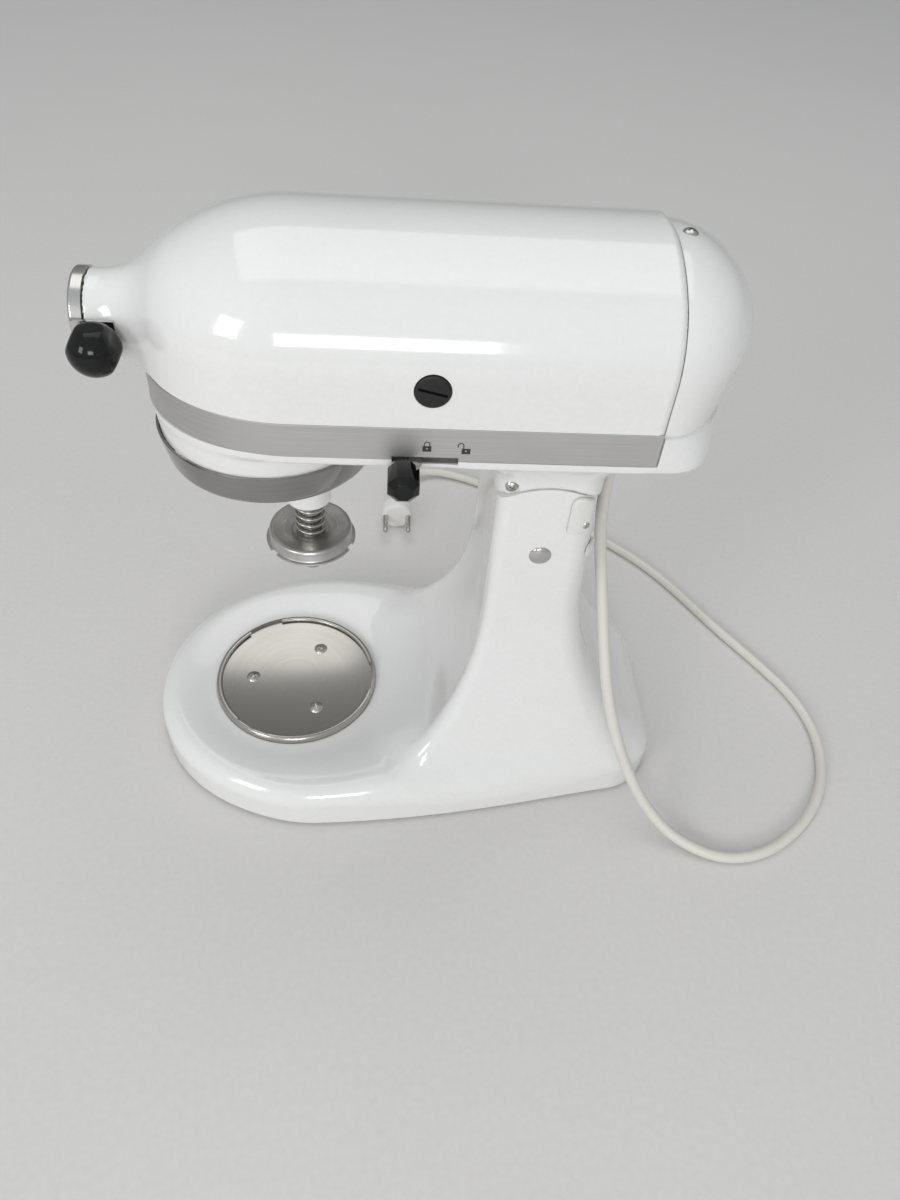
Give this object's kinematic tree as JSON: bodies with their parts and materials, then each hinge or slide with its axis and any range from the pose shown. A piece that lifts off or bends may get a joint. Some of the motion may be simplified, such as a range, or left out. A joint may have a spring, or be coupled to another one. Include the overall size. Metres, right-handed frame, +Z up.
{
  "type": "stand mixer",
  "caption": "White tilt-head stand mixer with a brushed steel band, planetary beater drive, attachment hub, head lock and speed levers, and a mains cord.",
  "frame": {"origin": "on the floor, under the middle of the base", "axes": "+Z up, the head's nose points to -X, the lock lever side faces -Y"},
  "size_m": [0.465, 0.3874, 0.353],
  "materials": {
    "white_enamel": "gloss white enamel",
    "brushed_steel": "brushed along its length",
    "polished_steel": "polished",
    "worn_steel": "worn, soft sheen",
    "black_plastic": "gloss black",
    "white_plastic": "smooth white",
    "cord_plastic": "matt off-white",
    "rubber": "matt grey-black",
    "zinc_screw": "plain zinc",
    "gear_steel": "machined",
    "bronze": "plain bronze",
    "lamination": "stacked sheet",
    "copper": "lacquered copper",
    "carbon": "matt carbon",
    "cast_plate": "as cast",
    "dark_plastic": "moulded"
  },
  "bodies": {
    "base": {"pedestal": "white_enamel", "rubber_feet": "rubber", "bowl_clamp_plate": "polished_steel", "plate_screws": "zinc_screw", "hinge_pin": "polished_steel", "column_rear_guard": "white_plastic", "guard_screw": "zinc_screw", "cord_hanging": "cord_plastic", "cord_floor": "cord_plastic", "plug": "cord_plastic", "plug_pins": "polished_steel"},
    "head": {"upper_housing": "white_enamel", "trim_band": "brushed_steel", "rear_cover": "white_enamel", "cover_screw": "zinc_screw", "lower_housing": "white_enamel", "block_screw": "zinc_screw", "case_screws": "zinc_screw", "drip_ring": "polished_steel", "gear_plate": "cast_plate", "planetary_bush": "bronze", "ring_gear": "gear_steel", "motor_stator": "lamination", "field_coils": "copper", "front_bulkhead": "cast_plate", "rear_bulkhead": "cast_plate", "motor_bearings": "gear_steel", "brush_holders": "dark_plastic", "carbon_brushes": "carbon", "near_brush_cap": "black_plastic", "far_brush_cap": "black_plastic", "hub_bush": "bronze", "cord_gland": "white_plastic"},
    "planetary": {"planetary_hub": "white_enamel", "centre_shaft": "gear_steel", "centre_gear": "gear_steel", "upright_bevel": "gear_steel"},
    "beater": {"beater_shaft": "polished_steel", "beater_cross_pin": "gear_steel", "beater_pinion": "gear_steel", "beater_disc": "worn_steel", "beater_spring": "polished_steel"},
    "wheel": {"wheel_shaft": "gear_steel", "wheel_pinion": "gear_steel", "worm_wheel": "bronze"},
    "rotor": {"motor_shaft": "gear_steel", "worm": "gear_steel", "armature_core": "lamination", "commutator": "copper", "cooling_fan": "dark_plastic"},
    "hub_drive": {"hub_drive_shaft": "gear_steel", "hub_bevel": "gear_steel"},
    "lock_lever": {"lock_lever_arm": "polished_steel", "lock_lever_knob": "black_plastic"},
    "speed_lever": {"speed_lever_arm": "polished_steel", "speed_lever_knob": "black_plastic"},
    "hub_cap": {"hub_cap": "brushed_steel"},
    "ball_knob": {"ball_knob": "black_plastic", "ball_screw": "polished_steel"}
  },
  "joints": [
    {"name": "head_tilt", "type": "hinge", "parent": "base", "child": "head", "pos_m": [0.067, 0, 0.193], "axis": [0, 1, 0], "range_deg": [0, 50], "deforming": ["cord_hanging"]},
    {"name": "planetary_spin", "type": "hinge", "parent": "head", "child": "planetary", "pos_m": [-0.0745, 0, 0.24], "axis": [0, 0, 1], "continuous": true},
    {"name": "beater_spin", "type": "hinge", "parent": "planetary", "child": "beater", "pos_m": [-0.05611, -0.01838, 0.2], "axis": [0, 0, 1], "continuous": true},
    {"name": "wheel_spin", "type": "hinge", "parent": "head", "child": "wheel", "pos_m": [-0.04, 0.028, 0.29], "axis": [0, 0, 1], "continuous": true},
    {"name": "rotor_spin", "type": "hinge", "parent": "head", "child": "rotor", "pos_m": [0.04, 0, 0.303], "axis": [1, 0, 0], "continuous": true},
    {"name": "hub_spin", "type": "hinge", "parent": "head", "child": "hub_drive", "pos_m": [-0.11, 0, 0.3], "axis": [1, 0, 0], "continuous": true},
    {"name": "lock_slide", "type": "slide", "parent": "head", "child": "lock_lever", "axis": [1, 0, 0], "range_m": [0, 0.016]},
    {"name": "speed_slide", "type": "slide", "parent": "head", "child": "speed_lever", "axis": [1, 0, 0], "range_m": [0, 0.036]},
    {"name": "ball_turn", "type": "hinge", "parent": "head", "child": "ball_knob", "pos_m": [-0.143, -0.03, 0.3], "axis": [0, 1, 0], "continuous": true},
    {"name": "hub_cap_pull", "type": "slide", "parent": "head", "child": "hub_cap", "axis": [-1, 0, 0], "range_m": [0, 0.12]}
  ],
  "couplings": [
    {"joint": "beater_spin", "follows": "planetary_spin", "ratio": -3},
    {"joint": "wheel_spin", "follows": "planetary_spin", "ratio": -2.8},
    {"joint": "rotor_spin", "follows": "planetary_spin", "ratio": 67.2},
    {"joint": "hub_spin", "follows": "planetary_spin", "ratio": -1}
  ]
}
